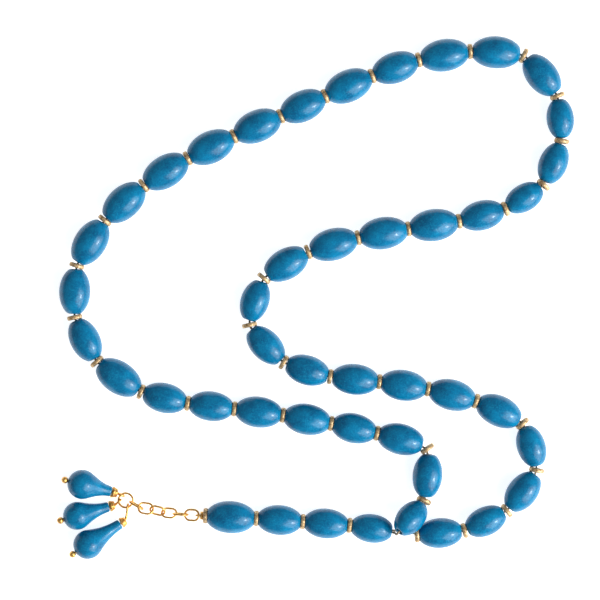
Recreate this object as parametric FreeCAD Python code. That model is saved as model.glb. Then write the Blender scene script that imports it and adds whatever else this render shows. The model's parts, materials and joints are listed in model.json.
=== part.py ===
"""Misbaha: oval stone beads on one looped cord, gold-tone disc spacers and a tassel of three drops.

The string lies on a table, +Z up, with the origin under the middle of its box, in millimetres.
One cord runs out of the end eye, through the four stem beads, round the loop of 41 beads and back
through the stem beads into the end eye. A chain of six links and a ring carry the three drops.
"""
import FreeCAD, Part
import math
import os

V = FreeCAD.Vector
UP = V(0, 0, 1)

# Beads: turned stones sorted into five grades, 1 the smallest and 5 the largest
bead_length = 11.6             # grade 3, from mouth to mouth
bead_dia = 8.25                # grade 3, at the waist
grade_length_step = 0.55       # a grade up or down
grade_dia_step = 0.33
middle_grade = 3
profile_stretch = 1.09         # the ellipse is this much longer than the bead that it is cut to
hole_dia = 1.8
mouth_rounding = 0.4           # the edge round each end face
loop_grades = "13434433" + "53455555" + "45455412" + "13555423" + "34444232" + "3"
stem_grades = "2335"           # from the junction out to the tassel

# Spacers
spacer_dia = 4.2
spacer_hole_dia = 2.0
spacer_thickness = 0.9
spacer_rounding = 0.35
face_gap = 0.05                # between a bead's mouth and the spacer beside it

# Cord
cord_dia = 0.6
cord_hole_margin = 0.15        # kept between the cord and a hole where the cord turns
strand_gap = 0.06              # between the two strands in the stem
open_cord = 6.3                # bare cord between the last stem bead and the last spacer
cord_share = 0.45              # the part of a run that one bend may take

# Junction: the first loop bead lies over the bare cord
cord_lead = 0.95               # straight cord out of a mouth before it rises
junction_gap = 1.6             # the first bead's mouth over the rim of the last spacer
cord_turn_drop = 0.4           # the turn into the first bead, under its mouth: part of cord_lead
cord_turn_back = 0.5           # and behind the mouth
cord_turn_lift = 0.25          # and over the bead's own line

# Wire work
wire_dia = 0.6
link_length = 4.6              # outside
link_width = 3.5
hook_gap = 0.15                # between two wires that hook
crimp_dia = 2.2
crimp_length = 0.9
crimp_play = 0.05              # round the two strands
crimp_cap = 0.3
cord_end_play = 0.06           # between the cord's ends and the cap
staple_wire_dia = 0.5
staple_radius = (wire_dia + staple_wire_dia) / 2 + hook_gap    # centreline
staple_leg = 0.4
ring_dia = 4.5                 # tassel ring, outside

# Drops
stone_gap = 0.05               # between the stone and the wrap or ball at its ends
neck_dia = 2.9
blunt_flat_dia = 1.2           # the flat round the hole at the blunt end
flank_lean = 28                # degrees, the flank off the stone's axis where it meets the belly
neck_hold = 0.28               # the flank's straightness at the neck, part of the stone's length
belly_hold = 0.30              # and at the belly
pin_dia = 0.6
pin_play = 0.15
ball_dia = 1.8
wrap_length = 1.7
wrap_dia = 3.2
wrap_tip_dia = 1.5
wrap_turns = 3
eye_wire_dia = 0.5
eye_play = 0.3                 # round the ring's wire in a drop's eye
eye_radius = (wire_dia + eye_wire_dia) / 2 + eye_play    # centreline

# The chain: each link's heading, fall and roll in degrees, from the end eye out
chain_lay = ((179, -17, 0), (177, -17, 90), (174, -11, 38), (166, 0, -36), (171, 0, 16))
hooked_link_heading = 150      # link 6 stands on edge through link 5
hooked_link_lead = 0.75        # from the middle of link 5's end wire to the middle of link 6
hooked_link_side = -0.2
hooked_link_height = 1.9
ring_height = 1.5
ring_heading = 160             # from the middle of the ring's wire in link 6 to the ring's middle
# Each drop: its place round the ring, the shank's heading and length, the stone's heading,
# length and diameter
drops = (
    (130, 158, 1.15, 164, 12.3, 8.1),
    (190, 200, 1.2, 197.5, 12.8, 7.7),
    (285, 263, 3.5, 212, 14.5, 8.1),
)

# The lay of the loop on the table, from the junction round and back to it
hub_place = (21.7, -61.4)
stem_headings = (172, 175.5, 176, 177)     # degrees, each stem bead from the junction out
loop_lay = (
    (30.9, -52.6), (33.2, -40.6), (20.2, -36.0), (7.5, -33.4), (-18.1, -29.4), (-31.0, -27.9),
    (-43.4, -25.2), (-55.0, -18.1), (-61.6, -6.7), (-61.8, 7.4), (-54.7, 19.6), (-32.9, 36.3),
    (-8.0, 47.6), (16.7, 58.5), (29.6, 62.9), (43.3, 65.0), (57.8, 63.6), (65.5, 53.1),
    (66.5, 41.0), (61.6, 29.4), (51.5, 23.3), (25.0, 18.0), (-1.7, 11.7), (-13.1, 4.5),
    (-16.4, -7.9), (-6.2, -17.5), (19.9, -22.2), (45.9, -27.7), (57.6, -34.0), (60.2, -46.1),
    (52.2, -56.0), (41.3, -61.2),
)


def turned(heading):
    """The level direction at that many degrees from +X."""
    angle = math.radians(heading)
    return V(math.cos(angle), math.sin(angle), 0)


def bead_size(grade):
    """(length, diameter) of a bead of that grade."""
    steps = int(grade) - middle_grade
    return bead_length + steps * grade_length_step, bead_dia + steps * grade_dia_step


def mouth_radius(grade):
    """The radius of the bead's end face."""
    return bead_size(grade)[1] / 2 * math.sqrt(1 - 1 / profile_stretch**2)


def reach(turn, grade):
    """From the middle of a spacer to the mouth of the bead beside it, where the string turns by
    that angle: the bead's mouth, or its shoulder in a sharp turn, stays face_gap off the spacer."""
    half = turn / 2
    length, dia = bead_size(grade)
    long_radius = length / 2 * profile_stretch
    along, across = math.cos(half), math.sin(half)
    support = math.hypot(long_radius * along, dia / 2 * across)
    if long_radius**2 * along > support * length / 2:
        support = length / 2 * along + mouth_radius(grade) * across
    return (spacer_thickness / 2 + face_gap + support) / along - length / 2


cord_height = bead_dia / 2
first_bead_rise = spacer_dia / 2 + mouth_radius(loop_grades[0]) + junction_gap
strand_offset = (cord_dia + strand_gap) / 2
cord_room = (hole_dia - cord_dia) / 2 - cord_hole_margin    # from the hole's middle, at a turn


def string_stem(hub):
    """The stem's joints from the junction out, and each bead's reach to its first joint."""
    joints = [hub]
    near = []
    turns = [b - a for a, b in zip(stem_headings, stem_headings[1:])] + [0.0]
    for i, (grade, heading) in enumerate(zip(stem_grades, stem_headings)):
        near.append(reach(math.radians(turns[i - 1]), grade) if i else 0.0)
        far = reach(math.radians(turns[i]), grade)
        joints.append(joints[-1] + turned(heading) * (near[-1] + bead_size(grade)[0] + far))
    return joints, near


def junction(size):
    """The junction's fixed points at that size of lay: hub, first mouth and last spacer, in plan."""
    hub = V(hub_place[0] * size, hub_place[1] * size, 0)
    outward = turned(stem_headings[0] + 180)
    second = V(loop_lay[0][0] * size, loop_lay[0][1] * size, 0)
    into_bead = (second - hub).normalize()
    mouth = hub + outward * cord_lead + into_bead * cord_lead
    return hub, mouth, hub + outward * (open_cord + spacer_thickness / 2)


def string_loop(passes=60):
    """The loop's joints: they slide along the lay until each chord fits its bead, and the lay is
    scaled until the string closes. Returns (size, joints, each bead's reach to its first joint)."""
    size = 1.0
    arcs = [bead_size(grade)[0] for grade in loop_grades]
    for _ in range(passes):
        _, first, last = junction(size)
        lay = Part.BSplineCurve()
        lay.interpolate([first] + [V(x * size, y * size, 0) for x, y in loop_lay] + [last])
        joints = [first]
        run = 0.0
        for arc in arcs:
            run += arc
            along = lay.length() * run / sum(arcs)
            joints.append(lay.value(lay.parameterAtDistance(along, lay.FirstParameter)))
        plan_chords = [(b - a).Length for a, b in zip(joints, joints[1:])]
        joints[0] = first + UP * first_bead_rise
        ways = [b - a for a, b in zip(joints, joints[1:])]
        turns = [a.getAngle(b) for a, b in zip(ways, ways[1:])] + [0.0]
        near = [0.0] + [reach(turn, grade) for turn, grade in zip(turns, loop_grades[1:])]
        far = [reach(turn, grade) for turn, grade in zip(turns, loop_grades)]
        fits = [n + bead_size(g)[0] + f for n, g, f in zip(near, loop_grades, far)]
        fits[0] = math.sqrt(fits[0] ** 2 - first_bead_rise**2)
        tightness = sum(fits) / sum(plan_chords)
        size *= tightness
        arcs = [a * f / c / tightness for a, f, c in zip(arcs, fits, plan_chords)]
    return size, [j + UP * cord_height for j in joints], near


def tube(points, radius, bends):
    """A round tube on straight runs joined by tangent arcs. bends gives each corner's arc radius."""
    edges = []
    here = points[0]
    for i in range(1, len(points) - 1):
        before = (points[i] - points[i - 1]).normalize()
        after = (points[i + 1] - points[i]).normalize()
        half = before.getAngle(after) / 2
        back = bends[i - 1] * math.tan(half)
        start = points[i] - before * back
        end = points[i] + after * back
        inward = (after - before).normalize()
        middle = points[i] + inward * bends[i - 1] * (1 / math.cos(half) - 1)
        edges.append(Part.LineSegment(here, start).toShape())
        edges.append(Part.Arc(start, middle, end).toShape())
        here = end
    edges.append(Part.LineSegment(here, points[-1]).toShape())
    path = Part.Wire(edges)
    section = Part.Wire(Part.makeCircle(radius, points[0], points[1] - points[0]))
    return path, path.makePipeShell([section], True, False)


def bend_radii(points, most_inward):
    """The largest arc at each corner that leaves the runs their shares and cuts the corner by at
    most that much."""
    radii = []
    for a, b, c in zip(points, points[1:], points[2:]):
        half = (b - a).getAngle(c - b) / 2
        shorter = min((b - a).Length, (c - b).Length)
        by_run = cord_share * shorter / math.tan(half)
        by_hole = most_inward / (1 / math.cos(half) - 1)
        radii.append(min(by_run, by_hole))
    return radii


def laid(shape, place, axis):
    """The shape, made round the local Z axis at the origin, moved to place with Z along axis."""
    shape.Placement = FreeCAD.Placement(place, FreeCAD.Rotation(UP, axis))
    return shape


def bead(grade):
    """An oval bead round Z, centred: an ellipse cut square at both mouths, drilled and eased."""
    length, dia = bead_size(grade)
    half = length / 2
    long_radius = half * profile_stretch
    ellipse = Part.Ellipse(V(0, 0, long_radius), V(dia / 2, 0, 0), V(0, 0, 0))
    mouth = mouth_radius(grade)
    angle = math.acos(1 / profile_stretch)
    side = Part.ArcOfEllipse(ellipse, angle, math.pi - angle).toShape()
    ends = side.Vertexes
    low, high = sorted((ends[0].Point, ends[1].Point), key=lambda p: p.z)
    outline = Part.Wire([
        Part.LineSegment(V(0, 0, low.z), V(abs(low.x), 0, low.z)).toShape(),
        side,
        Part.LineSegment(V(abs(high.x), 0, high.z), V(0, 0, high.z)).toShape(),
        Part.LineSegment(V(0, 0, high.z), V(0, 0, low.z)).toShape(),
    ])
    body = Part.Face(outline).revolve(V(0, 0, 0), UP, 360)
    rims = [e for e in body.Edges if e.Closed and abs(e.BoundBox.ZLength) < 1e-6]
    body = body.makeFillet(mouth_rounding, rims)
    return body.cut(Part.makeCylinder(hole_dia / 2, length * 2, V(0, 0, -length)))


def spacer():
    """A round disc with an eased rim, centred, its hole along Z."""
    half = spacer_thickness / 2
    disc = Part.makeCylinder(spacer_dia / 2, spacer_thickness, V(0, 0, -half))
    rims = [e for e in disc.Edges if abs(e.BoundBox.ZLength) < 1e-6]
    disc = disc.makeFillet(spacer_rounding, rims)
    drill = Part.makeCylinder(spacer_hole_dia / 2, spacer_thickness * 2, V(0, 0, -spacer_thickness))
    return disc.cut(drill)


def link():
    """A chain link flat in XY, its length along X: a round wire bent to an oval."""
    half_width = (link_width - wire_dia) / 2
    straight = (link_length - link_width) / 2
    end = V(straight + half_width, 0, 0)
    corner = V(straight, half_width, 0)
    mirrored = V(straight, -half_width, 0)
    path = Part.Wire([
        Part.LineSegment(corner, V(-straight, half_width, 0)).toShape(),
        Part.Arc(V(-straight, half_width, 0), end * -1, V(-straight, -half_width, 0)).toShape(),
        Part.LineSegment(V(-straight, -half_width, 0), mirrored).toShape(),
        Part.Arc(mirrored, end, corner).toShape(),
    ])
    section = Part.Wire(Part.makeCircle(wire_dia / 2, corner, V(1, 0, 0)))
    return path.makePipeShell([section], True, False)


def end_eye(place, outward):
    """The crimp that holds both ends of the cord, with a staple for the chain, standing upright."""
    bore = strand_offset + cord_dia / 2 + crimp_play
    crimp = Part.makeCylinder(crimp_dia / 2, crimp_length)
    crimp = crimp.cut(Part.makeCylinder(bore, crimp_length - crimp_cap))
    root = V(0, 0, crimp_length - crimp_cap / 2)
    bend = V(0, 0, crimp_length + staple_leg)
    side = V(staple_radius, 0, 0)
    apex = bend + UP * staple_radius
    path = Part.Wire([
        Part.LineSegment(root + side, bend + side).toShape(),
        Part.Arc(bend + side, apex, bend - side).toShape(),
        Part.LineSegment(bend - side, root - side).toShape(),
    ])
    section = Part.Wire(Part.makeCircle(staple_wire_dia / 2, root + side, UP))
    shape = crimp.fuse(path.makePipeShell([section], True, False))
    shape.Placement = FreeCAD.Placement(place, FreeCAD.Rotation(UP, V(0, 1, 0), outward, "ZXY"))
    return shape


def drop_stone(length, dia):
    """A drilled teardrop on Z, its neck's face at the origin and its blunt end up."""
    radius = dia / 2
    middle = length - radius
    lean = math.radians(flank_lean)
    belly = V(radius * math.cos(lean), 0, middle - radius * math.sin(lean))
    flat = blunt_flat_dia / 2
    crown = V(flat, 0, middle + math.sqrt(radius**2 - flat**2))
    flank = Part.BezierCurve()
    flank.setPoles([
        V(neck_dia / 2, 0, 0),
        V(neck_dia / 2, 0, middle * neck_hold),
        belly - V(math.sin(lean), 0, math.cos(lean)) * middle * belly_hold,
        belly,
    ])
    outline = Part.Wire([
        Part.LineSegment(V(0, 0, 0), V(neck_dia / 2, 0, 0)).toShape(),
        flank.toShape(),
        Part.Arc(belly, V(radius, 0, middle), crown).toShape(),
        Part.LineSegment(crown, V(0, 0, crown.z)).toShape(),
        Part.LineSegment(V(0, 0, crown.z), V(0, 0, 0)).toShape(),
    ])
    body = Part.Face(outline).revolve(V(0, 0, 0), UP, 360)
    bore = pin_dia / 2 + pin_play
    return body.cut(Part.makeCylinder(bore, length * 2, V(0, 0, -length / 2)))


def wrap():
    """The wire wound round the shank on Z, its small end at the origin: one bulge for each turn."""
    pitch = wrap_length / wrap_turns
    step = (wrap_dia - wrap_tip_dia) / 2 / wrap_turns
    edges = []
    here = V(wrap_tip_dia / 2 - pitch / 4, 0, 0)
    for turn in range(wrap_turns):
        crest = V(wrap_tip_dia / 2 + step * (turn + 1), 0, pitch * (turn + 0.5))
        after = V(crest.x - pitch / 4, 0, pitch * (turn + 1))
        edges.append(Part.Arc(here, crest, after).toShape())
        here = after
    edges.insert(0, Part.LineSegment(V(0, 0, 0), edges[0].Vertexes[0].Point).toShape())
    edges.append(Part.LineSegment(here, V(0, 0, wrap_length)).toShape())
    edges.append(Part.LineSegment(V(0, 0, wrap_length), V(0, 0, 0)).toShape())
    return Part.Face(Part.Wire(edges)).revolve(V(0, 0, 0), UP, 360)


def framed(shape, place, along, side, normal):
    """The shape moved to place with its X, Y and Z along those directions."""
    shape.Placement = FreeCAD.Placement(place, FreeCAD.Rotation(along, side, normal, "XYZ"))
    return shape


def link_frame(heading, fall, roll):
    """A link's own X, Y and Z: along the chain, across the link and through its hole."""
    level = turned(heading)
    tilt = math.radians(fall)
    along = level * math.cos(tilt) + UP * math.sin(tilt)
    across = UP.cross(level).normalize()
    upward = along.cross(across)
    lean = math.radians(roll)
    side = across * math.cos(lean) + upward * math.sin(lean)
    return along, side, along.cross(side)


def place_chain(start):
    """Each link's centre and frame, each hooked in the one before, from the staple's hook out."""
    half = (link_length - wire_dia) / 2
    places = []
    hook = start
    for heading, fall, roll in chain_lay:
        frame = link_frame(heading, fall, roll)
        centre = hook + frame[0] * half
        places.append((centre, frame))
        hook = centre + frame[0] * (half - wire_dia - hook_gap)
    centre, frame = places[-1]
    end = centre + frame[0] * half
    lead = turned(hooked_link_heading)
    middle = end + lead * hooked_link_lead + UP.cross(lead) * hooked_link_side
    middle.z = hooked_link_height
    places.append((middle, link_frame(hooked_link_heading, 0, 90)))
    return places


def place_ring(hooked):
    """The tassel ring's hook in link 6 and its own centre."""
    half = (link_length - wire_dia) / 2
    centre, frame = hooked
    hook = centre + frame[0] * (half - wire_dia - hook_gap)
    hook.z = ring_height
    return hook, hook + turned(ring_heading) * ((ring_dia - wire_dia) / 2)


def drop_places(ring_centre):
    """For each drop: its eye, the wrap's tip, the stone's axis from the tip, and its shank's way."""
    found = []
    for round_ring, heading, shank, stone_heading, length, dia in drops:
        eye = ring_centre + turned(round_ring) * ((ring_dia - wire_dia) / 2)
        tip = eye + turned(heading) * shank
        to_belly = wrap_length + stone_gap + length - dia / 2
        tilt = math.asin((dia / 2 - tip.z) / to_belly)
        axis = turned(stone_heading) * math.cos(tilt) + UP * math.sin(tilt)
        found.append((eye, tip, axis, turned(heading)))
    return found


def drop_wire(eye, tip, axis, way, length):
    """One wire: the eye round the ring, the shank, the wrap, the pin through the stone, the ball."""
    bore = pin_dia / 2 + pin_play
    ball = wrap_length + stone_gap + length + math.sqrt((ball_dia / 2) ** 2 - bore**2) + stone_gap
    root = wrap_length / 2
    pin = laid(Part.makeCylinder(pin_dia / 2, ball - root), tip + axis * root, axis)
    head = Part.makeSphere(ball_dia / 2, tip + axis * ball)
    wound = laid(wrap(), tip, axis)
    start = eye + way * eye_radius
    shank = laid(Part.makeCylinder(pin_dia / 2, (tip - start).Length + pin_dia / 2), start, way)
    loop = laid(Part.makeTorus(eye_radius, eye_wire_dia / 2), eye, way.cross(UP))
    return wound.fuse([pin, head, shank, loop])


def cord_route(stem, loop, crimp_end, outward):
    """The cord's corners: out of the crimp, through the stem, up into the first bead, round the
    loop, over the bare stretch and back through the stem into the crimp."""
    across = UP.cross(outward).normalize() * strand_offset
    there = [joint + across for joint in stem[-2:0:-1]]
    back = [joint - across for joint in stem[1:-1]]
    hub = stem[0]
    lead = (hub - stem[1]).normalize() * cord_lead
    into = (loop[1] - loop[0]).normalize()
    rise = [hub + lead + across]
    rise.append(V(rise[0].x, rise[0].y, loop[0].z - cord_lead * cord_turn_drop))
    rise.append(loop[0] - into * cord_lead * cord_turn_back + UP * cord_lead * cord_turn_lift)
    home = [loop[-1] - across]
    return [crimp_end + across] + there + rise + loop[1:-1] + home + back + [crimp_end - across]


size, loop_joints, loop_near = string_loop()
hub_joint = junction(size)[0] + UP * cord_height
stem_joints, stem_near = string_stem(hub_joint)
stem_out = turned(stem_headings[-1])
eye_place = stem_joints[-1] + stem_out * (spacer_thickness / 2 + face_gap)
chain_start = eye_place + stem_out * (
    crimp_length + staple_leg + staple_radius - (staple_wire_dia + wire_dia) / 2 - hook_gap)
links = place_chain(chain_start)
ring_hook, ring_centre = place_ring(links[-1])
drop_lay = drop_places(ring_centre)


def bead_places(joints, near, grades):
    """(middle, axis) of each bead between its two joints, resting on the table if it is level."""
    found = []
    for a, b, reached, grade in zip(joints, joints[1:], near, grades):
        axis = (b - a).normalize()
        middle = a + axis * (reached + bead_size(grade)[0] / 2)
        if abs(axis.z) < 1e-6:
            middle.z = bead_size(grade)[1] / 2
        found.append((middle, axis))
    return found


loop_places = bead_places(loop_joints, loop_near, loop_grades)
stem_places = bead_places(stem_joints, stem_near, stem_grades)


def spacer_places():
    """(middle, axis) of every spacer: square to the middle direction of the two beads beside it.
    In a bend it sits between the two mouths, as far inside the corner as the cord lets it."""
    found = []
    play = (spacer_hole_dia - cord_dia) / 2 - cord_hole_margin
    for joints, near in ((stem_joints, stem_near), (loop_joints, loop_near)):
        ways = [(b - a).normalize() for a, b in zip(joints, joints[1:])]
        radii = bend_radii(joints, cord_room)
        for joint, before, after, radius, mouth in zip(joints[1:], ways, ways[1:], radii, near[1:]):
            half = before.getAngle(after) / 2
            inward = (after - before).normalize()
            cut = radius * (1 / math.cos(half) - 1)
            slide = min(mouth * math.sin(half), cut + play)
            found.append((joint + inward * slide, (before + after).normalize()))
        found.append((joints[-1], ways[-1]))
    return found


def build():
    """Every node's shape by its name, still in the lay's own place."""
    nodes = {}
    for i, ((middle, axis), grade) in enumerate(zip(stem_places, stem_grades)):
        nodes[f"stem_bead_{len(stem_grades) - i}"] = laid(bead(grade), middle, axis)
    for i, ((middle, axis), grade) in enumerate(zip(loop_places, loop_grades)):
        nodes[f"loop_bead_{i + 1:02d}"] = laid(bead(grade), middle, axis)
    nodes["spacers"] = Part.makeCompound([laid(spacer(), *place) for place in spacer_places()])
    crimp_end = eye_place + stem_out * (crimp_length - crimp_cap - cord_end_play)
    route = cord_route(stem_joints, loop_joints, crimp_end, stem_out)
    radii = bend_radii(route, cord_room)
    path, nodes["cord"] = tube(route, cord_dia / 2, radii)
    print("cord radii", [round(r, 2) for r in radii])
    print("cord length", round(path.Length, 1))
    section = math.pi * cord_dia**2 / 4
    print("cord volume over section x length", nodes["cord"].Volume / (section * path.Length))
    nodes["end_eye"] = end_eye(eye_place, stem_out)
    for i, (centre, frame) in enumerate(links[:4]):
        nodes[f"chain_link_{i + 1}"] = framed(link(), centre, *frame)
    pair = [framed(link(), centre, *frame) for centre, frame in links[4:]]
    nodes["chain_links_5_6"] = Part.makeCompound(pair)
    ring = Part.makeTorus((ring_dia - wire_dia) / 2, wire_dia / 2)
    nodes["tassel_ring"] = laid(ring, ring_centre, UP)
    for i, ((eye, tip, axis, way), lay) in enumerate(zip(drop_lay, drops)):
        length, dia = lay[4:]
        neck = tip + axis * (wrap_length + stone_gap)
        nodes[f"drop_stone_{i + 1}"] = laid(drop_stone(length, dia), neck, axis)
        nodes[f"drop_wire_{i + 1}"] = drop_wire(eye, tip, axis, way, length)
    return nodes


def to_origin(nodes):
    """The move that brings the middle of the box's underside to the origin."""
    box = FreeCAD.BoundBox()
    for shape in nodes.values():
        box.add(shape.optimalBoundingBox(False))
    return V(-box.Center.x, -box.Center.y, -box.ZMin)


def main():
    os.makedirs("parts", exist_ok=True)
    nodes = build()
    move = to_origin(nodes)
    print("moved by", [round(v, 3) for v in move])
    for name, shape in nodes.items():
        shape.translate(move)
        shape.exportStep(f"parts/{name}.step")
    print(len(nodes), "nodes")


if __name__ == "__main__":
    main()
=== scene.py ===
# %% [markdown]
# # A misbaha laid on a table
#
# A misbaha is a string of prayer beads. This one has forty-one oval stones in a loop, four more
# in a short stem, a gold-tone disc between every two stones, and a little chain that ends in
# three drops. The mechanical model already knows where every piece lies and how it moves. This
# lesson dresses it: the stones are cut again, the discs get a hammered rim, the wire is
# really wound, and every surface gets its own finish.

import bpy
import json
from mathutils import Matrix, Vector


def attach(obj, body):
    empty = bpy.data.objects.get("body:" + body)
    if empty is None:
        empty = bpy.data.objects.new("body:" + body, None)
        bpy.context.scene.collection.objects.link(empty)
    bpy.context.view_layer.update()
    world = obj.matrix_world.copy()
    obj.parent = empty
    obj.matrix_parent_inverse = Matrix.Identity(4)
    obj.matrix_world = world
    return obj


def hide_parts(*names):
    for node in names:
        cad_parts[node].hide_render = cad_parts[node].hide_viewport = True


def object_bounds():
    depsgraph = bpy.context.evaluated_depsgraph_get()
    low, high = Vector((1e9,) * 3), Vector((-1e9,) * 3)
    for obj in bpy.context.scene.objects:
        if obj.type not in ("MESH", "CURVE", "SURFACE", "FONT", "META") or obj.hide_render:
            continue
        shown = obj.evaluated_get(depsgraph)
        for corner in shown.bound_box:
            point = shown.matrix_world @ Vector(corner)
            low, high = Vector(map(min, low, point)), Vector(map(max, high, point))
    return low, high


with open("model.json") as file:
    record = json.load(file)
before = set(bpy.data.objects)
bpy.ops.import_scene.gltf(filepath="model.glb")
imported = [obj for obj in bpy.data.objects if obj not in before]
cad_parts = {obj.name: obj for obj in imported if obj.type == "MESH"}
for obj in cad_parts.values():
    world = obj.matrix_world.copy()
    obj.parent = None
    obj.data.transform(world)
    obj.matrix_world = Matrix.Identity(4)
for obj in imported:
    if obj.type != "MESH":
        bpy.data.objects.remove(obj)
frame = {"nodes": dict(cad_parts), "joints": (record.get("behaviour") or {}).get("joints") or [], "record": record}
cad_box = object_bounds()

# %% Tools and units
import json
import math

import bmesh
import bpy
import numpy as np
from mathutils import Matrix, Vector, geometry, noise

MM = 0.001
UP = Vector((0, 0, 1))
SAME_PLACE = 0.001 * MM          # points closer than this are one point
box_low, box_high = cad_box
size = box_high - box_low
print("size in mm", [round(side / MM, 1) for side in size])

# %% [markdown]
# ## Where things are
#
# Every bead turns on the cord, so the model holds a hinge for it, and that hinge gives the
# bead's middle and the way its hole runs. The bead's length and width could be typed in again,
# but reading them off the model's own mesh keeps the two in step: the length is how far the
# points reach along the hole, and the radius is how far they reach away from it.

# %% Read the beads off the model
hinges = {joint["child"]: joint for joint in frame["joints"]}
body_of_node = {node: body for body, nodes in frame["record"]["behaviour"]["bodies"].items()
                for node in nodes}


def node_points(node):
    """The model's points of that node, each place once."""
    points = [tuple(round(c, 7) for c in v.co) for v in frame["nodes"][node].data.vertices]
    return np.array(sorted(set(points)))


def reach_along(node, middle, axis):
    """How far a node's points reach along an axis, back and forth, and how far away from it."""
    offsets = node_points(node) - np.array(middle)
    along = offsets @ np.array(axis)
    away = np.linalg.norm(offsets - np.outer(along, np.array(axis)), axis=1)
    return along.min(), along.max(), away.max()


class Bead:
    """A bead's place: its middle, the way its hole runs, its length and its radius."""

    def __init__(self, node):
        hinge = hinges[body_of_node[node]]
        self.node = node
        self.body = body_of_node[node]
        self.middle = Vector(hinge["pos_m"])
        self.axis = Vector(hinge["axis"]).normalized()
        low, high, self.radius = reach_along(node, self.middle, self.axis)
        self.length = high - low
        self.start = self.middle + self.axis * low
        self.end = self.middle + self.axis * high


stem = [Bead(f"stem_bead_{i}") for i in (1, 2, 3, 4)]
loop = [Bead(f"loop_bead_{i:02d}") for i in range(1, 42)]
print("beads", len(stem), "+", len(loop), "first is", round(loop[0].length / MM, 2), "mm long")

# %% [markdown]
# ## The camera
#
# The string is laid flat, so the picture is taken from straight above. A short lens would show
# the flanks of the outer beads, and an orthographic camera would look drawn, so a long lens a
# good way off is the choice. The string fills about seven eighths of the picture and sits a
# little to the right of its middle.

# %% Place the camera
lens_mm = 120
sensor_mm = 36
filled_share = 0.862
aside = Vector((-4.3, -0.6, 0)) * MM
bead_height = 4 * MM

picture_width = size.x / filled_share
target = (box_low + box_high) / 2 + aside
target.z = bead_height
camera_data = bpy.data.cameras.new("camera")
camera_data.lens = lens_mm
camera_data.sensor_width = sensor_mm
camera = bpy.data.objects.new("camera", camera_data)
camera.location = target + UP * (picture_width * lens_mm / sensor_mm)
bpy.context.scene.collection.objects.link(camera)
bpy.context.scene.camera = camera
print("camera height in mm", round(camera.location.z / MM))

# %% [markdown]
# ## The cord
#
# One waxed cord holds everything. It starts in the crimp at the chain, runs through the stem,
# climbs into the first bead of the loop, goes all the way round and comes home through the same
# four stem beads, so the stem carries two strands side by side. It could be a mesh tube, but a
# curve keeps its real length and bends smoothly. Its points are the two mouths of every bead it
# passes, because that is where a cord is held, and three more where it climbs. A curve's box
# counts the thickness factor of a point as metres, so the factor is made tiny here and the
# curve's depth is made as many times larger: the thread comes out the same.

# %% Lay the cord
cord_dia = 0.6 * MM
strand_offset = 0.33 * MM        # from the middle of the hole to each of two strands
crimp_reach = 1.54 * MM          # the cord's ends past the last stem bead, inside the crimp
cord_lead = 0.95 * MM            # straight out of the stem before it climbs
turn_drop = 0.38 * MM            # the top of the climb, below the first bead's mouth
turn_back = 0.475 * MM           # the last point before the mouth: behind it
turn_lift = 0.24 * MM            # and above the bead's own line
thickness_factor = 0.0001        # of every point; the curve's depth makes up for it

outward = stem[0].axis
across = UP.cross(outward).normalized() * strand_offset
crimp_end = stem[0].end + outward * crimp_reach

out_strand = [crimp_end + across]
back_strand = [crimp_end - across]
for bead in stem:
    out_strand += [bead.end + across, bead.start + across]
    back_strand += [bead.end - across, bead.start - across]

first = loop[0]
lead = stem[-1].start - stem[-1].axis * cord_lead + across
climb = [lead, Vector((lead.x, lead.y, first.start.z - turn_drop))]
climb.append(first.start - first.axis * turn_back + UP * turn_lift)
round_loop = [mouth for bead in loop for mouth in (bead.start, bead.end)]
route = out_strand + climb + round_loop + back_strand[::-1]

cord_curve = bpy.data.curves.new("cord_thread", "CURVE")
cord_curve.dimensions = "3D"
spline = cord_curve.splines.new("NURBS")
spline.points.add(len(route) - 1)
for point, place in zip(spline.points, route):
    point.co = (*place, 1)
    point.radius = thickness_factor
spline.order_u = 3
spline.use_endpoint_u = True
spline.resolution_u = 4
cord_curve.bevel_depth = cord_dia / 2 / thickness_factor
cord_curve.bevel_resolution = 2
cord_curve.use_fill_caps = True
cord_thread = bpy.data.objects.new("cord_thread", cord_curve)
bpy.context.scene.collection.objects.link(cord_thread)
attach(cord_thread, "string")
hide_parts("cord")
print("cord points", len(route))

# %% [markdown]
# ## Writing finishes as sums
#
# A finish is a small network of nodes. Wiring them one by one hides what they do, so two short
# helpers let the network be written as it is thought. `Number` wraps a socket that carries a
# number, and turns + - * into Math nodes. `Finish` holds a material and makes every other node
# from its type, its settings and what goes into its sockets.

# %% Helpers for finishes


class Number:
    """A number that varies over a surface. Sums and products of it are Math nodes."""

    def __init__(self, finish, socket):
        self.finish = finish
        self.socket = socket

    def with_math(self, operation, first, second):
        math_node = self.finish.node("ShaderNodeMath", {"operation": operation},
                                     {0: first, 1: second})
        return Number(self.finish, math_node.outputs[0])

    def __add__(self, other):
        return self.with_math("ADD", self, other)

    def __sub__(self, other):
        return self.with_math("SUBTRACT", self, other)

    def __mul__(self, other):
        return self.with_math("MULTIPLY", self, other)

    def __rsub__(self, other):
        return self.with_math("SUBTRACT", other, self)

    __radd__ = __add__
    __rmul__ = __mul__


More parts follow.
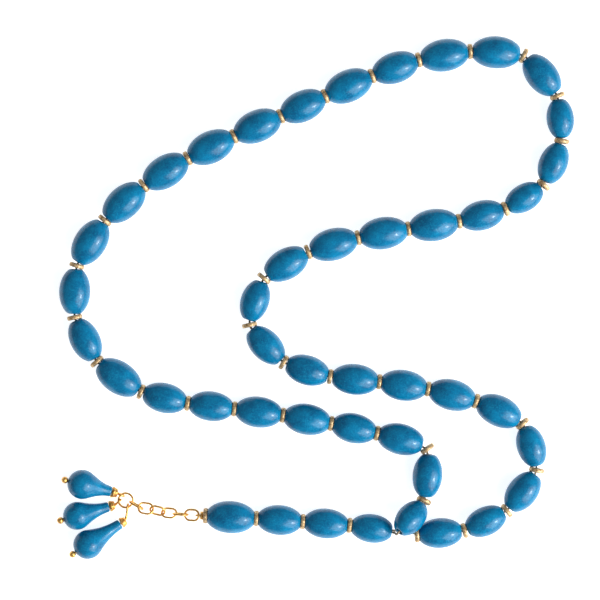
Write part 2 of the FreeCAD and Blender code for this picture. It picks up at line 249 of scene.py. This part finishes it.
class Finish:
    """A material: one Principled surface, and the nodes that feed it."""

    def __init__(self, name, **constants):
        self.material = bpy.data.materials.new(name)
        self.material.use_nodes = True
        self.tree = self.material.node_tree
        self.surface = self.tree.nodes["Principled BSDF"]
        for socket, value in constants.items():
            self.surface.inputs[socket.replace("_", " ")].default_value = value
        place = self.node("ShaderNodeTexCoord").outputs["Object"]
        self.in_mm = self.node("ShaderNodeVectorMath", {"operation": "SCALE"},
                               {"Vector": place, "Scale": 1 / MM}).outputs[0]

    def node(self, kind, settings=None, sockets=None):
        """A node of that kind: its settings first, then a value or a link for each socket."""
        made = self.tree.nodes.new(kind)
        for name, value in (settings or {}).items():
            if name == "stops":
                self.set_stops(made.color_ramp, value)
            else:
                setattr(made, name, value)
        for name, value in (sockets or {}).items():
            if isinstance(name, int):
                self.feed(made.inputs[name], value)
            else:
                self.feed(next(s for s in made.inputs if s.name == name and s.enabled), value)
        return made

    def set_stops(self, ramp, stops):
        while len(ramp.elements) < len(stops):
            ramp.elements.new(0.5)
        for element, (place, colour) in zip(ramp.elements, stops):
            element.position = place
            element.color = (*colour, 1)

    def feed(self, socket, value):
        if isinstance(value, Number):
            value = value.socket
        if isinstance(value, bpy.types.NodeSocket):
            self.tree.links.new(value, socket)
        elif isinstance(value, tuple) and len(value) == 3 and socket.type == "RGBA":
            socket.default_value = (*value, 1)
        else:
            socket.default_value = value

    def noise(self, per_mm, detail=2.0, roughness=0.5, place=None, distortion=0.0):
        """Cloudy noise from 0 to 1, with that many lumps in a millimetre."""
        made = self.node("ShaderNodeTexNoise", {}, {
            "Vector": place or self.in_mm, "Scale": per_mm, "Detail": detail,
            "Roughness": roughness, "Distortion": distortion})
        return Number(self, made.outputs[0])

    def ramp(self, number, *stops):
        """A number turned into a grey level, or a colour, by stops of (place, colour)."""
        coloured = [(at, (level,) * 3 if isinstance(level, (int, float)) else level)
                    for at, level in stops]
        made = self.node("ShaderNodeValToRGB", {"stops": coloured}, {"Fac": number})
        return made.outputs[0]

    def level(self, number, *stops):
        """A number turned into another number by stops of (place, level)."""
        return Number(self, self.ramp(number, *stops))

    def mixed(self, share, one, other):
        """One colour turning into another as share goes from 0 to 1."""
        made = self.node("ShaderNodeMix", {"data_type": "RGBA"},
                         {"Factor": share, "A": one, "B": other})
        return made.outputs[2]

    def paint(self, **sockets):
        """What goes into the surface's own sockets."""
        for name, value in sockets.items():
            self.feed(self.surface.inputs[name.replace("_", " ")], value)

    def bump(self, height, depth_mm):
        """Small relief on the surface, that deep where height is 1."""
        made = self.node("ShaderNodeBump", {}, {"Height": height, "Distance": depth_mm * MM,
                                                "Strength": 1.0})
        self.paint(Normal=made.outputs[0])


def colour(red, green, blue):
    """A colour as a paint chart gives it, from 0 to 255, in the scene's own linear values."""
    shares = [channel / 255 for channel in (red, green, blue)]
    return tuple(c / 12.92 if c <= 0.04045 else ((c + 0.055) / 1.055) ** 2.4 for c in shares)


print("a mid grey is", [round(c, 3) for c in colour(128, 128, 128)])

# %% [markdown]
# ## The blue stone
#
# The beads are a porous stone that is dyed blue and polished. Dye sinks in unevenly, so the
# blue is cloudy at the size of a grain of rice, freckled at the size of sand, and crossed here
# and there by a paler vein. An image would show its edges on so many beads. Noise in the
# object's own millimetres gives every bead a different part of one endless block of stone,
# which is how beads are cut.

# %% Make the stone
stone = Finish("dyed_stone", Specular_IOR_Level=0.3)
clouds = stone.noise(0.28, detail=3, roughness=0.55)
freckles = stone.noise(2.4, detail=4, roughness=0.65)
sand = stone.noise(9.0, detail=2, roughness=0.6)
vein_field = stone.noise(0.22, detail=5, roughness=0.6, distortion=0.8)
veins = stone.level(vein_field, (0.485, 0.0), (0.5, 1.0), (0.515, 0.0))
deep_blue = colour(0, 88, 130)
dye_blue = colour(4, 127, 173)
pale_blue = colour(34, 162, 200)
depth = stone.level(clouds * 0.55 + freckles * 0.45, (0.36, 0.0), (0.64, 1.0))
blue = stone.mixed(depth, deep_blue, dye_blue)
blue = stone.mixed(stone.level(freckles, (0.55, 0.0), (0.75, 0.35)), blue, pale_blue)
blue = stone.mixed(veins * 0.25, blue, pale_blue)
stone.paint(Base_Color=blue, Roughness=0.19 + sand * 0.1 - depth * 0.03)
stone.bump(freckles * 0.6 + sand * 0.4, 0.012)
print("stone nodes", len(stone.tree.nodes))

# %% [markdown]
# ## The gold-tone metals
#
# The discs are a base metal with a thin, slightly dull plating that has been tumbled, so the
# rims are brighter than the hollows, where a brown tone is left. The wire is a richer yellow
# and smoother. Both are the same recipe with other numbers: a function makes each.

# %% Make the metals


def plated(name, bright, dull, shine, roughness, lump_per_mm, dent_mm):
    """A gold-tone plating with a duller tone in its hollows and small dents all over."""
    metal = Finish(name, Metallic=shine)
    lumps = metal.noise(lump_per_mm, detail=3, roughness=0.6)
    scratches = metal.noise(lump_per_mm * 5, detail=2, roughness=0.7)
    worn = metal.level(lumps * 0.7 + scratches * 0.3, (0.36, 0.0), (0.6, 1.0))
    metal.paint(Base_Color=metal.mixed(worn, dull, bright),
                Roughness=roughness + scratches * 0.2 - worn * 0.08)
    metal.bump(lumps * 0.8 + scratches * 0.2, dent_mm)
    return metal.material


disc_metal = plated("disc_plating", colour(226, 196, 150), colour(138, 104, 66),
                    shine=0.6, roughness=0.42, lump_per_mm=1.8, dent_mm=0.05)
wire_metal = plated("wire_plating", colour(250, 202, 120), colour(190, 130, 58),
                    shine=0.85, roughness=0.3, lump_per_mm=1.4, dent_mm=0.03)
print("metals", disc_metal.name, wire_metal.name)

# %% [markdown]
# ## The cord's own look
#
# The cord is two or three thin plies twisted tight and waxed. At this size the plies only show
# as a fine barber's stripe of light and dark: painted light on the crowns of the plies and
# painted shade between them, which plain noise gives well enough.

# %% Make the cord's finish
waxed = Finish("waxed_thread", Sheen_Weight=0.2)
fibres = waxed.noise(3.5, detail=3, roughness=0.7)
# painted light and shade of the plies: the pale beige stands for their lit crowns, the dark brown for the shade
# between them
thread_light_and_shade = waxed.mixed(fibres, colour(92, 78, 62), colour(176, 152, 118))
waxed.paint(Base_Color=thread_light_and_shade, Roughness=0.6 + fibres * 0.2)
waxed.bump(fibres, 0.04)
cord_curve.materials.append(waxed.material)
print("cord finish", waxed.material.name)

# %% [markdown]
# ## Cutting a bead
#
# A bead could be a sphere pulled long, but a sphere closes at its ends, and a bead is open
# there. A real bead is turned and drilled, so this one is too: half of its section is drawn
# once, out along the flank and back along the hole, and spun round the hole. Then the cutter's
# hand comes in. Each point moves a little inwards by a slow noise that is different on every
# bead, because no two stones on a string are quite alike.

# %% Helpers for turned pieces
spin_weld = cord_dia / 1000      # closes the seam where a turned piece meets itself


def spun(outline, steps):
    """A closed solid: the outline of (radius, height) points spun round Z."""
    bm = bmesh.new()
    corners = [bm.verts.new((radius, 0, height)) for radius, height in outline]
    edges = [bm.edges.new((a, b)) for a, b in zip(corners, corners[1:] + corners[:1])]
    bmesh.ops.spin(bm, geom=corners + edges, cent=(0, 0, 0), axis=(0, 0, 1), angle=math.tau,
                   steps=steps, use_merge=True)
    bmesh.ops.remove_doubles(bm, verts=bm.verts, dist=spin_weld)
    bmesh.ops.recalc_face_normals(bm, faces=bm.faces)
    return bm


def stand(bm, place, axis):
    """Moves a solid made round Z at the origin to its place, with Z along axis."""
    turn = UP.rotation_difference(axis).to_matrix().to_4x4()
    bmesh.ops.transform(bm, matrix=Matrix.Translation(place) @ turn, verts=bm.verts)


def finished(bm, name, material, body, stands_for=(), smoothing=0):
    """The solid as a piece of the scene, riding on its body."""
    mesh = bpy.data.meshes.new(name)
    bm.to_mesh(mesh)
    bm.free()
    mesh.shade_smooth()
    mesh.materials.append(material)
    piece = bpy.data.objects.new(name, mesh)
    bpy.context.scene.collection.objects.link(piece)
    if smoothing:
        rounding = piece.modifiers.new("rounding", "SUBSURF")
        rounding.levels = smoothing
        rounding.render_levels = smoothing
    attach(piece, body)
    if stands_for:
        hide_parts(*stands_for)
    return piece


def hand_cut(bm, seed, lump, depth, hole_radius):
    """Moves the skin inwards by up to depth, in lumps of that size, and leaves the hole round."""
    shift = Vector((seed * 7.31, seed * 3.17, seed * 5.73))
    for vert in bm.verts:
        from_axis = Vector((vert.co.x, vert.co.y, 0))
        skin = from_axis.length - hole_radius
        if skin <= 0:
            continue
        share = 0.5 + 0.5 * noise.noise(vert.co / lump + shift)
        inwards = depth * max(0.0, min(1.0, share)) * min(1.0, skin / (2 * hole_radius))
        vert.co -= from_axis.normalized() * inwards


print("helpers ready")

# %% [markdown]
# ### The bead's section
#
# The section is part of an ellipse that is a little longer than the bead, cut off square where
# the cord goes in. That leaves a small flat face round the hole, with an eased edge, as a stone
# has that was ground to length after turning. A full ellipse would close on the cord.

# %% Cut every bead
hole_radius = 0.9 * MM
mouth_rounding = 0.4 * MM
profile_stretch = 1.09           # the ellipse is this much longer than the bead cut from it
rounding_loss = 1.014            # smoothing draws the skin in by this much, so it starts fuller
flank_points = 13
bead_steps = 28
cut_lump = 5.5 * MM
cut_depth = 0.12 * MM


def bead_outline(length, radius):
    """Half of a bead's section: down the flank, in over the face, and up the hole."""
    half = length / 2
    long_radius = half * profile_stretch
    mouth = radius * math.sqrt(1 - 1 / profile_stretch**2)
    radius *= rounding_loss
    lowest = math.acos(1 / profile_stretch) + mouth_rounding / radius / 2
    outline = []
    for i in range(flank_points):
        angle = lowest + (math.pi - 2 * lowest) * i / (flank_points - 1)
        outline.append((radius * math.sin(angle), long_radius * math.cos(angle)))
    inner = [(mouth - mouth_rounding * 0.7, -half), (hole_radius + mouth_rounding / 4, -half),
             (hole_radius, -half + mouth_rounding / 4), (hole_radius, 0)]
    return outline + inner + [(r, -z) for r, z in inner[2::-1]]


for number, bead in enumerate(stem + loop):
    solid = spun(bead_outline(bead.length, bead.radius), bead_steps)
    hand_cut(solid, number + 1, cut_lump, cut_depth, hole_radius)
    stand(solid, bead.middle, bead.axis)
    finished(solid, "stone_" + bead.node, stone.material, bead.body, [bead.node], smoothing=1)
print("beads cut", number + 1)

# %% [markdown]
# ## The discs between the beads
#
# All forty-five discs are one part of the model, so their places are found by taking that
# part's mesh to pieces: each island of joined faces is a disc, its middle is the mean of its
# points, and its axis is the direction in which it is thinnest. A flat washer would leave a dark
# slot beside it. The real disc is a ring with a fat round rim that fills the space where the
# beads' ends curve away, so its section swells outwards, and it is hammered a little out of
# true. They are few enough to model one by one and join.

# %% Find the discs


def islands(node):
    """The separate solids of one node, each as an array of its points."""
    bm = bmesh.new()
    bm.from_mesh(frame["nodes"][node].data)
    bmesh.ops.remove_doubles(bm, verts=bm.verts, dist=SAME_PLACE)
    found = []
    waiting = set(bm.verts)
    while waiting:
        group = [waiting.pop()]
        for vert in group:
            for edge in vert.link_edges:
                other = edge.other_vert(vert)
                if other in waiting:
                    waiting.remove(other)
                    group.append(other)
        found.append(np.array([tuple(vert.co) for vert in group]))
    bm.free()
    return sorted(found, key=lambda points: tuple(points.mean(0).round(5)))


def main_axis(points, thinnest):
    """The direction in which points reach least, or most, from their mean."""
    _, vectors = np.linalg.eigh(np.cov((points - points.mean(0)).T))
    return Vector(vectors[:, 0 if thinnest else 2])


discs = [(Vector(points.mean(0)), main_axis(points, True)) for points in islands("spacers")]
print("discs", len(discs))

# %% [markdown]
# ### A disc's section
#
# The section is drawn once, from the hole to the rim and back on the other side. It is thin
# beside the hole and thickest near the rim, as a ring is that was squeezed between two beads.
# Then every disc is dented in its own way.

# %% Hammer the discs
disc_radius = 2.14 * MM
disc_hole = 1.0 * MM
web_half = 0.43 * MM             # half the thickness beside the hole
rim_half = 0.64 * MM             # and at its widest, near the rim
disc_steps = 24
hammer_lump = 0.6 * MM
hammer_depth = 0.09 * MM


def disc_outline():
    """Half of a disc's section: a thin web beside the hole, swelling to a fat round rim."""
    upper = [(disc_hole, web_half), (disc_radius * 0.64, web_half * 1.06),
             (disc_radius * 0.81, rim_half), (disc_radius * 0.95, rim_half * 0.82),
             (disc_radius, rim_half * 0.3)]
    return upper + [(radius, -height) for radius, height in reversed(upper)]


all_discs = bmesh.new()
for number, (place, axis) in enumerate(discs):
    solid = spun(disc_outline(), disc_steps)
    hand_cut(solid, number + 60, hammer_lump, hammer_depth, disc_hole)
    stand(solid, place, axis)
    loose = bpy.data.meshes.new("disc")
    solid.to_mesh(loose)
    all_discs.from_mesh(loose)
    solid.free()
    bpy.data.meshes.remove(loose)
finished(all_discs, "hammered_discs", disc_metal, "string", ["spacers"], smoothing=1)
print("discs hammered", len(discs))

# %% [markdown]
# ## The drops
#
# A drop is a pear of stone on a wire. Its section is drawn from three strokes: a short flat at
# the neck, one Bezier flank that leaves the neck straight and meets the belly's circle without
# a kink, and the circle itself round to the little flat at the blunt end. The stone's place and
# axis are read off the model: a turned piece is longest along its own axis.

# %% Cut the three drop stones
neck_radius = 1.45 * MM
blunt_flat = 0.6 * MM
pin_hole = 0.45 * MM
flank_lean = math.radians(28)    # off the axis, where the flank meets the belly
flank_steps = 12
belly_steps = 10
drop_steps = 36
drop_lump = 6 * MM
drop_depth = 0.1 * MM
drop_fullness = 0.985            # keeps the stones a hair inside the model, off the table


def drop_outline(length, radius):
    """Half of a drop's section from the neck at height 0 to the blunt end, and back in the hole."""
    middle = length - radius
    radius *= drop_fullness
    belly = Vector((radius * math.cos(flank_lean), middle - radius * math.sin(flank_lean)))
    away = Vector((math.sin(flank_lean), math.cos(flank_lean)))
    flank = geometry.interpolate_bezier(
        Vector((neck_radius, 0)), Vector((neck_radius, middle * 0.28)),
        belly - away * middle * 0.3, belly, flank_steps)
    outline = [(point.x, point.y) for point in flank]
    last = math.acos(blunt_flat / radius)
    for i in range(1, belly_steps + 1):
        angle = -flank_lean + (last + flank_lean) * i / belly_steps
        outline.append((radius * math.cos(angle), middle + radius * math.sin(angle)))
    top = outline[-1][1]
    return outline + [(pin_hole, top), (pin_hole, top / 2), (pin_hole, 0)]


class Drop:
    """A drop's place: its eye on the ring, its neck, and its stone's axis, length and radius."""

    def __init__(self, number):
        self.number = number
        self.body = f"drop_{number}"
        self.stone = f"drop_stone_{number}"
        self.wire = f"drop_wire_{number}"
        self.eye = Vector(hinges[self.body]["pos_m"])
        points = node_points(self.stone)
        middle = Vector(points.mean(0))
        self.axis = main_axis(points, False)
        if self.axis.dot(middle - self.eye) < 0:
            self.axis.negate()
        low, high, self.radius = reach_along(self.stone, middle, self.axis)
        self.neck = middle + self.axis * low
        self.length = high - low


drops = [Drop(number) for number in (1, 2, 3)]
for drop in drops:
    solid = spun(drop_outline(drop.length, drop.radius), drop_steps)
    hand_cut(solid, 200 + drop.number, drop_lump, drop_depth, pin_hole)
    stand(solid, drop.neck, drop.axis)
    finished(solid, f"pear_stone_{drop.number}", stone.material, drop.body, [drop.stone],
             smoothing=1)
    print("drop", drop.number, "is", round(drop.length / MM, 1), "mm long and",
          round(drop.radius * 2 / MM, 1), "mm wide")

# %% [markdown]
# ## Winding the wire
#
# Each drop hangs on one wire: it goes up through the stone from its ball head, bends to an eye
# round the ring, and is wound back over itself down to the neck, each turn wider than the last.
# A solid cone with grooves would pass from far off, but the turns catch the light one by one,
# so they are wound for real: a curve with a round section, whose points climb and widen, and
# are never quite even. The curve is made into a mesh and joined with the eye, the shank, a core
# that shuts the view through the winding, and the ball head.

# %% Helpers for wire


def wire_mesh(points, radius, closed=False, corners=3):
    """A round wire that follows the points smoothly, as a mesh."""
    curve = bpy.data.curves.new("wire", "CURVE")
    curve.dimensions = "3D"
    curve.bevel_depth = radius
    curve.bevel_resolution = corners
    curve.use_fill_caps = True
    line = curve.splines.new("NURBS")
    line.points.add(len(points) - 1)
    for point, place in zip(line.points, points):
        point.co = (*place, 1)
    line.order_u = 4
    line.use_endpoint_u = not closed
    line.use_cyclic_u = closed
    line.resolution_u = 4
    holder = bpy.data.objects.new("wire", curve)
    mesh = bpy.data.meshes.new_from_object(holder)
    bpy.data.objects.remove(holder)
    bpy.data.curves.remove(curve)
    return mesh


def add_mesh(bm, mesh):
    bm.from_mesh(mesh)
    bpy.data.meshes.remove(mesh)


def ring_points(centre, one, other, radius, count=12):
    """Points round a circle through the two directions."""
    turns = [math.tau * i / count for i in range(count)]
    return [centre + (one * math.cos(t) + other * math.sin(t)) * radius for t in turns]


print("wire helpers ready")

# %% [markdown]
# ### One wire for each drop
#
# The winding sits between the eye and the neck. Its turns start narrow at the eye and widen
# to the stone, and a slow noise keeps them uneven. The ball head is a sphere with its surface
# moved in by fine noise, which reads as cast grain.

# %% Wind the three drops
stone_gap = 0.05 * MM
wrap_length = 1.7 * MM
wrap_radius = 1.68 * MM          # outside, at the stone
tip_radius = 1.2 * MM            # outside, at the eye
wrap_turns = 4
turn_points = 10
coil_wire = 0.23 * MM            # radius
shank_wire = 0.36 * MM
eye_wire = 0.3 * MM
eye_radius = 0.87 * MM
ball_radius = 0.98 * MM
ball_lump = 0.42 * MM
ball_depth = 0.14 * MM


def winding(drop, tip):
    """The points of the wound wire: they climb from the tip to the stone and widen."""
    side = drop.axis.orthogonal().normalized()
    other = drop.axis.cross(side)
    count = round(wrap_turns * turn_points) + 1
    points = []
    for i in range(count):
        share = i / (count - 1)
        turn = math.tau * wrap_turns * share + drop.number
        uneven = 0.09 * MM * noise.noise(Vector((i * 0.35, drop.number * 9.1, 0)))
        radius = tip_radius + (wrap_radius - tip_radius) * share - coil_wire - abs(uneven)
        height = coil_wire + (wrap_length - 2 * coil_wire) * share + uneven
        outwards = side * math.cos(turn) + other * math.sin(turn)
        points.append(tip + drop.axis * height + outwards * radius)
    return points


def ball_head(bm, place, seed):
    """A cast ball covered with small grains."""
    ball = bmesh.new()
    bmesh.ops.create_icosphere(ball, subdivisions=4, radius=ball_radius)
    for vert in ball.verts:
        lump = noise.noise(vert.co / ball_lump + Vector((seed, 0, 0)))
        vert.co *= 1 - ball_depth / ball_radius * (0.5 + 0.5 * lump)
    bmesh.ops.translate(ball, verts=ball.verts, vec=place)
    mesh = bpy.data.meshes.new("ball")
    ball.to_mesh(mesh)
    ball.free()
    add_mesh(bm, mesh)


for drop in drops:
    tip = drop.neck - drop.axis * (wrap_length + stone_gap)
    way = (tip - drop.eye).normalized()
    _, wire_end, _ = reach_along(drop.wire, tip, drop.axis)
    bm = bmesh.new()
    core_low, core_high = tip_radius - coil_wire * 1.6, wrap_radius - coil_wire * 1.6
    bmesh.ops.create_cone(bm, cap_ends=True, segments=16, radius1=core_low, radius2=core_high,
                          depth=wrap_length - coil_wire,
                          matrix=Matrix.Translation((0, 0, wrap_length / 2)))
    stand(bm, tip, drop.axis)
    add_mesh(bm, wire_mesh(winding(drop, tip), coil_wire))
    add_mesh(bm, wire_mesh(ring_points(drop.eye, way, UP, eye_radius), eye_wire, closed=True))
    shank = [drop.eye + way * eye_radius, drop.eye.lerp(tip, 0.9), tip,
             tip + drop.axis * wrap_length / 2]
    add_mesh(bm, wire_mesh(shank, shank_wire))
    pin = [tip + drop.axis * wrap_length / 2, drop.neck, tip + drop.axis * (wire_end - ball_radius)]
    add_mesh(bm, wire_mesh(pin, shank_wire))
    ball_head(bm, tip + drop.axis * (wire_end - ball_radius), drop.number * 4.7)
    finished(bm, f"wound_wire_{drop.number}", wire_metal, drop.body, [drop.wire])
print("drops wound", len(drops))

# %% [markdown]
# ## The chain and the ring
#
# The end eye, the links and the tassel ring are bent by hand from soft round wire. The model has
# every bend in its place, but its wire is perfectly even. A copy of each is taken, its skin is
# welded, and each point is moved a hair along its own normal by a slow noise, so that the wire
# swells and thins as worked wire does. It moves inward nearly everywhere and outward by a
# hair at most, because the links have very little room at the ends of their swing.

# %% Work the plain wire
wire_swell = 0.03 * MM
wire_lump = 0.8 * MM
plain_wire = {"end_eye": "string", "chain_link_1": "link_1", "chain_link_2": "link_2",
              "chain_link_3": "link_3", "chain_link_4": "link_4", "chain_links_5_6": "links_5_6",
              "tassel_ring": "ring"}


def worked(node, body):
    """A copy of the model's wire, its skin moved in and out a little."""
    bm = bmesh.new()
    bm.from_mesh(frame["nodes"][node].data)
    bmesh.ops.remove_doubles(bm, verts=bm.verts, dist=SAME_PLACE)
    bmesh.ops.recalc_face_normals(bm, faces=bm.faces)
    bm.normal_update()
    shifts = [(vert, vert.normal * wire_swell * (noise.noise(vert.co / wire_lump) - 0.5))
              for vert in bm.verts]
    for vert, shift in shifts:
        vert.co += shift
    return finished(bm, "worked_" + node, wire_metal, body, [node])


for node, body in plain_wire.items():
    worked(node, body)
print("worked", len(plain_wire))

# %% [markdown]
# ## Floor and light
#
# The string lies on a plain pale table. The main light is a wide soft box low on the right and
# a little towards the viewer, so every bead is light on that side and deep blue on the other. A
# small box beside it puts the one crisp highlight on each bead. The world fills the rest.

# %% Lay the floor
floor_size = 6
floor_gap = 0.02 * MM            # below the stones, so that the two skins never flicker
bm = bmesh.new()
bmesh.ops.create_grid(bm, x_segments=1, y_segments=1, size=floor_size / 2)
floor_mesh = bpy.data.meshes.new("floor")
bm.to_mesh(floor_mesh)
bm.free()
floor = bpy.data.objects.new("floor", floor_mesh)
floor.location.z = -floor_gap
bpy.context.scene.collection.objects.link(floor)
table = Finish("table_white", Roughness=0.9, Specular_IOR_Level=0.1)
table.paint(Base_Color=(0.9, 0.9, 0.9), Emission_Color=(1.0, 1.0, 1.0), Emission_Strength=0.8)
floor_mesh.materials.append(table.material)
print("floor", floor_size, "m")

# %% [markdown]
# ### The two boxes
#
# A box is placed by its compass heading and its height over the table, both seen from the
# string, and turned to face it. Writing the two angles is easier to adjust than coordinates.

# %% Set the lights


def soft_box(name, heading, height, distance, width, watts):
    """A square light that shines on the string from a heading and a height in degrees."""
    data = bpy.data.lights.new(name, "AREA")
    data.shape = "SQUARE"
    data.size = width
    data.energy = watts
    light = bpy.data.objects.new(name, data)
    level, rise = math.radians(heading), math.radians(height)
    towards = Vector((math.cos(level) * math.cos(rise), math.sin(level) * math.cos(rise),
                      math.sin(rise)))
    light.location = target + towards * distance
    light.rotation_mode = "QUATERNION"
    light.rotation_quaternion = towards.to_track_quat("Z", "Y")
    bpy.context.scene.collection.objects.link(light)
    return light


soft_box("main_box", heading=-30, height=36, distance=0.9, width=0.9, watts=12.0)
soft_box("glint_box", heading=-22, height=37, distance=0.9, width=0.07, watts=2.6)
world = bpy.data.worlds.new("room")
world.use_nodes = True
world.node_tree.nodes["Background"].inputs["Color"].default_value = (0.95, 0.97, 1.0, 1)
world.node_tree.nodes["Background"].inputs["Strength"].default_value = 0.25
bpy.context.scene.world = world
bpy.context.scene.view_settings.view_transform = "Standard"
print("lights set")

# %% [markdown]
# ## Last update
#
# The view layer is brought up to date.

# %% Bring the scene up to date
bpy.context.view_layer.update()
